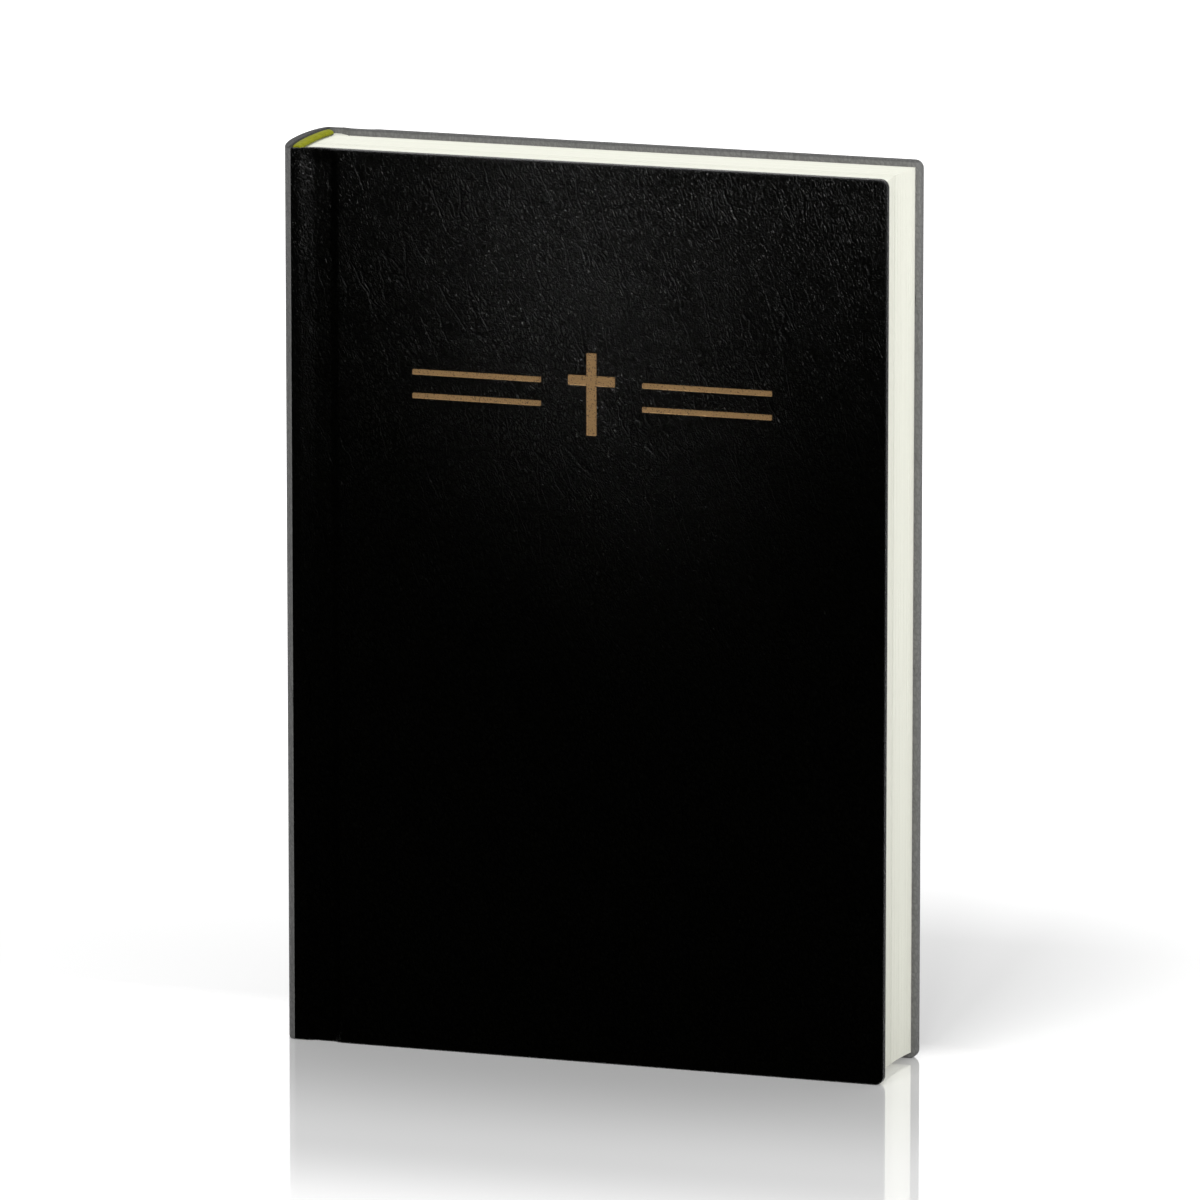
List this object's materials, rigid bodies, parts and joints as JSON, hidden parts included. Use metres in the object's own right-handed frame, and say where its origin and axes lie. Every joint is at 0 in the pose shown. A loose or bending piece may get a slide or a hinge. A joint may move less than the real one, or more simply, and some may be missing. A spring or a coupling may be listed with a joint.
{
  "type": "bible",
  "caption": "Case-bound bible with stiff leather-grained covers, rounded spine, sewn sections and headbands; opens like a book at its cover joints.",
  "frame": {"origin": "middle of the footprint of the closed book, on the surface that it stands on, at the tail edge of its covers", "axes": "+X from the spine to the fore edge, +Y from the front cover to the back cover, +Z from tail to head"},
  "size_m": [0.1484, 0.03, 0.213],
  "materials": {
    "black_covering": "black bonded leather with a pebbled, veined grain, satin",
    "grey_covering": "mid grey covering material with the same fine grain, matt",
    "board": "grey binder's board",
    "card": "manila card",
    "kraft_paper": "brown kraft paper",
    "mull": "open starched cotton mull",
    "headband": "olive woven headband with a corded edge",
    "thread": "white linen sewing thread",
    "pages": "thin cream printing paper, cut edges",
    "endpaper": "heavy cream endpaper",
    "gilt_foil": "matt gold blocking foil"
  },
  "bodies": {
    "binding": {"spine_covering": "grey_covering", "spine_stiffener": "card", "spine_lining": "kraft_paper", "mull": "mull", "head_band": "headband", "tail_band": "headband", "sewing_thread": "thread", "section_folds": "pages", "front_joint_covering": "black_covering", "back_joint_covering": "grey_covering", "front_mull_hinge": "mull", "back_mull_hinge": "mull", "front_endpaper_hinge": "endpaper", "back_endpaper_hinge": "endpaper"},
    "front_cover": {"front_board": "board", "front_covering": "black_covering", "front_pastedown": "endpaper", "front_mull_flange": "mull", "front_foil": "gilt_foil"},
    "back_cover": {"back_board": "board", "back_covering": "grey_covering", "back_pastedown": "endpaper", "back_mull_flange": "mull"},
    "front_flyleaf": {"front_flyleaf": "endpaper"},
    "back_flyleaf": {"back_flyleaf": "endpaper"},
    "section_01": {"section_01": "pages"},
    "section_02": {"section_02": "pages"},
    "section_03": {"section_03": "pages"},
    "section_04": {"section_04": "pages"},
    "section_05": {"section_05": "pages"},
    "section_06": {"section_06": "pages"},
    "section_07": {"section_07": "pages"},
    "section_08": {"section_08": "pages"},
    "section_09": {"section_09": "pages"},
    "section_10": {"section_10": "pages"},
    "section_11": {"section_11": "pages"},
    "section_12": {"section_12": "pages"},
    "front_centre_leaf_1": {"front_centre_leaf_1": "pages"},
    "front_centre_leaf_2": {"front_centre_leaf_2": "pages"},
    "front_centre_leaf_3": {"front_centre_leaf_3": "pages"},
    "section_24": {"section_24": "pages"},
    "section_23": {"section_23": "pages"},
    "section_22": {"section_22": "pages"},
    "section_21": {"section_21": "pages"},
    "section_20": {"section_20": "pages"},
    "section_19": {"section_19": "pages"},
    "section_18": {"section_18": "pages"},
    "section_17": {"section_17": "pages"},
    "section_16": {"section_16": "pages"},
    "section_15": {"section_15": "pages"},
    "section_14": {"section_14": "pages"},
    "section_13": {"section_13": "pages"},
    "back_centre_leaf_1": {"back_centre_leaf_1": "pages"},
    "back_centre_leaf_2": {"back_centre_leaf_2": "pages"},
    "back_centre_leaf_3": {"back_centre_leaf_3": "pages"}
  },
  "joints": [
    {"name": "front_cover_hinge", "type": "hinge", "parent": "binding", "child": "front_cover", "pos_m": [-0.06225, -0.01225, 0.1065], "axis": [0, 0, -1], "range_deg": [0, 100], "deforming": ["front_joint_covering", "front_mull_hinge", "front_endpaper_hinge"]},
    {"name": "front_flyleaf_turn", "type": "hinge", "parent": "binding", "child": "front_flyleaf", "pos_m": [-0.06198, -0.01214, 0.1065], "axis": [0, 0, -1], "range_deg": [0, 98.01]},
    {"name": "section_01_turn", "type": "hinge", "parent": "binding", "child": "section_01", "pos_m": [-0.06131, -0.01158, 0.1065], "axis": [0, 0, -1], "range_deg": [0, 96.51]},
    {"name": "section_02_turn", "type": "hinge", "parent": "binding", "child": "section_02", "pos_m": [-0.06021, -0.01061, 0.1065], "axis": [0, 0, -1], "range_deg": [0, 95.65]},
    {"name": "section_03_turn", "type": "hinge", "parent": "binding", "child": "section_03", "pos_m": [-0.05912, -0.00964, 0.1065], "axis": [0, 0, -1], "range_deg": [0, 94.78]},
    {"name": "section_04_turn", "type": "hinge", "parent": "binding", "child": "section_04", "pos_m": [-0.05804, -0.00867, 0.1065], "axis": [0, 0, -1], "range_deg": [0, 93.92]},
    {"name": "section_05_turn", "type": "hinge", "parent": "binding", "child": "section_05", "pos_m": [-0.05698, -0.0077, 0.1065], "axis": [0, 0, -1], "range_deg": [0, 93.06]},
    {"name": "section_06_turn", "type": "hinge", "parent": "binding", "child": "section_06", "pos_m": [-0.05594, -0.00673, 0.1065], "axis": [0, 0, -1], "range_deg": [0, 92.19]},
    {"name": "section_07_turn", "type": "hinge", "parent": "binding", "child": "section_07", "pos_m": [-0.05491, -0.00576, 0.1065], "axis": [0, 0, -1], "range_deg": [0, 91.33]},
    {"name": "section_08_turn", "type": "hinge", "parent": "binding", "child": "section_08", "pos_m": [-0.0539, -0.00479, 0.1065], "axis": [0, 0, -1], "range_deg": [0, 90.47]},
    {"name": "section_09_turn", "type": "hinge", "parent": "binding", "child": "section_09", "pos_m": [-0.0529, -0.00382, 0.1065], "axis": [0, 0, -1], "range_deg": [0, 89.6]},
    {"name": "section_10_turn", "type": "hinge", "parent": "binding", "child": "section_10", "pos_m": [-0.05192, -0.00285, 0.1065], "axis": [0, 0, -1], "range_deg": [0, 88.74]},
    {"name": "section_11_turn", "type": "hinge", "parent": "binding", "child": "section_11", "pos_m": [-0.05095, -0.00188, 0.1065], "axis": [0, 0, -1], "range_deg": [0, 87.87]},
    {"name": "section_12_turn", "type": "hinge", "parent": "binding", "child": "section_12", "pos_m": [-0.04999, -0.00091, 0.1065], "axis": [0, 0, -1], "range_deg": [0, 87.01]},
    {"name": "front_centre_leaf_1_turn", "type": "hinge", "parent": "binding", "child": "front_centre_leaf_1", "pos_m": [-0.04945, -0.00036, 0.1065], "axis": [0, 0, -1], "range_deg": [0, 74.01]},
    {"name": "front_centre_leaf_2_turn", "type": "hinge", "parent": "binding", "child": "front_centre_leaf_2", "pos_m": [-0.04933, -0.00022, 0.1065], "axis": [0, 0, -1], "range_deg": [0, 52.01]},
    {"name": "front_centre_leaf_3_turn", "type": "hinge", "parent": "binding", "child": "front_centre_leaf_3", "pos_m": [-0.04925, -0.0001, 0.1065], "axis": [0, 0, -1], "range_deg": [0, 28.01]},
    {"name": "back_cover_hinge", "type": "hinge", "parent": "binding", "child": "back_cover", "pos_m": [-0.06225, 0.01225, 0.1065], "axis": [0, 0, 1], "range_deg": [0, 100], "deforming": ["back_joint_covering", "back_mull_hinge", "back_endpaper_hinge"]},
    {"name": "back_flyleaf_turn", "type": "hinge", "parent": "binding", "child": "back_flyleaf", "pos_m": [-0.06198, 0.01214, 0.1065], "axis": [0, 0, 1], "range_deg": [0, 98.01]},
    {"name": "section_24_turn", "type": "hinge", "parent": "binding", "child": "section_24", "pos_m": [-0.06131, 0.01158, 0.1065], "axis": [0, 0, 1], "range_deg": [0, 96.51]},
    {"name": "section_23_turn", "type": "hinge", "parent": "binding", "child": "section_23", "pos_m": [-0.06021, 0.01061, 0.1065], "axis": [0, 0, 1], "range_deg": [0, 95.65]},
    {"name": "section_22_turn", "type": "hinge", "parent": "binding", "child": "section_22", "pos_m": [-0.05912, 0.00964, 0.1065], "axis": [0, 0, 1], "range_deg": [0, 94.78]},
    {"name": "section_21_turn", "type": "hinge", "parent": "binding", "child": "section_21", "pos_m": [-0.05804, 0.00867, 0.1065], "axis": [0, 0, 1], "range_deg": [0, 93.92]},
    {"name": "section_20_turn", "type": "hinge", "parent": "binding", "child": "section_20", "pos_m": [-0.05698, 0.0077, 0.1065], "axis": [0, 0, 1], "range_deg": [0, 93.06]},
    {"name": "section_19_turn", "type": "hinge", "parent": "binding", "child": "section_19", "pos_m": [-0.05594, 0.00673, 0.1065], "axis": [0, 0, 1], "range_deg": [0, 92.19]},
    {"name": "section_18_turn", "type": "hinge", "parent": "binding", "child": "section_18", "pos_m": [-0.05491, 0.00576, 0.1065], "axis": [0, 0, 1], "range_deg": [0, 91.33]},
    {"name": "section_17_turn", "type": "hinge", "parent": "binding", "child": "section_17", "pos_m": [-0.0539, 0.00479, 0.1065], "axis": [0, 0, 1], "range_deg": [0, 90.47]},
    {"name": "section_16_turn", "type": "hinge", "parent": "binding", "child": "section_16", "pos_m": [-0.0529, 0.00382, 0.1065], "axis": [0, 0, 1], "range_deg": [0, 89.6]},
    {"name": "section_15_turn", "type": "hinge", "parent": "binding", "child": "section_15", "pos_m": [-0.05192, 0.00285, 0.1065], "axis": [0, 0, 1], "range_deg": [0, 88.74]},
    {"name": "section_14_turn", "type": "hinge", "parent": "binding", "child": "section_14", "pos_m": [-0.05095, 0.00188, 0.1065], "axis": [0, 0, 1], "range_deg": [0, 87.87]},
    {"name": "section_13_turn", "type": "hinge", "parent": "binding", "child": "section_13", "pos_m": [-0.04999, 0.00091, 0.1065], "axis": [0, 0, 1], "range_deg": [0, 87.01]},
    {"name": "back_centre_leaf_1_turn", "type": "hinge", "parent": "binding", "child": "back_centre_leaf_1", "pos_m": [-0.04945, 0.00036, 0.1065], "axis": [0, 0, 1], "range_deg": [0, 74.01]},
    {"name": "back_centre_leaf_2_turn", "type": "hinge", "parent": "binding", "child": "back_centre_leaf_2", "pos_m": [-0.04933, 0.00022, 0.1065], "axis": [0, 0, 1], "range_deg": [0, 52.01]},
    {"name": "back_centre_leaf_3_turn", "type": "hinge", "parent": "binding", "child": "back_centre_leaf_3", "pos_m": [-0.04925, 0.0001, 0.1065], "axis": [0, 0, 1], "range_deg": [0, 28.01]}
  ],
  "couplings": [
    {"joint": "front_flyleaf_turn", "follows": "front_cover_hinge", "ratio": 0.98},
    {"joint": "section_01_turn", "follows": "front_cover_hinge", "ratio": 0.965},
    {"joint": "section_02_turn", "follows": "front_cover_hinge", "ratio": 0.95636},
    {"joint": "section_03_turn", "follows": "front_cover_hinge", "ratio": 0.94773},
    {"joint": "section_04_turn", "follows": "front_cover_hinge", "ratio": 0.93909},
    {"joint": "section_05_turn", "follows": "front_cover_hinge", "ratio": 0.93046},
    {"joint": "section_06_turn", "follows": "front_cover_hinge", "ratio": 0.92182},
    {"joint": "section_07_turn", "follows": "front_cover_hinge", "ratio": 0.91318},
    {"joint": "section_08_turn", "follows": "front_cover_hinge", "ratio": 0.90455},
    {"joint": "section_09_turn", "follows": "front_cover_hinge", "ratio": 0.89591},
    {"joint": "section_10_turn", "follows": "front_cover_hinge", "ratio": 0.88727},
    {"joint": "section_11_turn", "follows": "front_cover_hinge", "ratio": 0.87864},
    {"joint": "section_12_turn", "follows": "front_cover_hinge", "ratio": 0.87},
    {"joint": "front_centre_leaf_1_turn", "follows": "front_cover_hinge", "ratio": 0.74},
    {"joint": "front_centre_leaf_2_turn", "follows": "front_cover_hinge", "ratio": 0.52},
    {"joint": "front_centre_leaf_3_turn", "follows": "front_cover_hinge", "ratio": 0.28},
    {"joint": "back_flyleaf_turn", "follows": "back_cover_hinge", "ratio": 0.98},
    {"joint": "section_24_turn", "follows": "back_cover_hinge", "ratio": 0.965},
    {"joint": "section_23_turn", "follows": "back_cover_hinge", "ratio": 0.95636},
    {"joint": "section_22_turn", "follows": "back_cover_hinge", "ratio": 0.94773},
    {"joint": "section_21_turn", "follows": "back_cover_hinge", "ratio": 0.93909},
    {"joint": "section_20_turn", "follows": "back_cover_hinge", "ratio": 0.93046},
    {"joint": "section_19_turn", "follows": "back_cover_hinge", "ratio": 0.92182},
    {"joint": "section_18_turn", "follows": "back_cover_hinge", "ratio": 0.91318},
    {"joint": "section_17_turn", "follows": "back_cover_hinge", "ratio": 0.90455},
    {"joint": "section_16_turn", "follows": "back_cover_hinge", "ratio": 0.89591},
    {"joint": "section_15_turn", "follows": "back_cover_hinge", "ratio": 0.88727},
    {"joint": "section_14_turn", "follows": "back_cover_hinge", "ratio": 0.87864},
    {"joint": "section_13_turn", "follows": "back_cover_hinge", "ratio": 0.87},
    {"joint": "back_centre_leaf_1_turn", "follows": "back_cover_hinge", "ratio": 0.74},
    {"joint": "back_centre_leaf_2_turn", "follows": "back_cover_hinge", "ratio": 0.52},
    {"joint": "back_centre_leaf_3_turn", "follows": "back_cover_hinge", "ratio": 0.28}
  ]
}
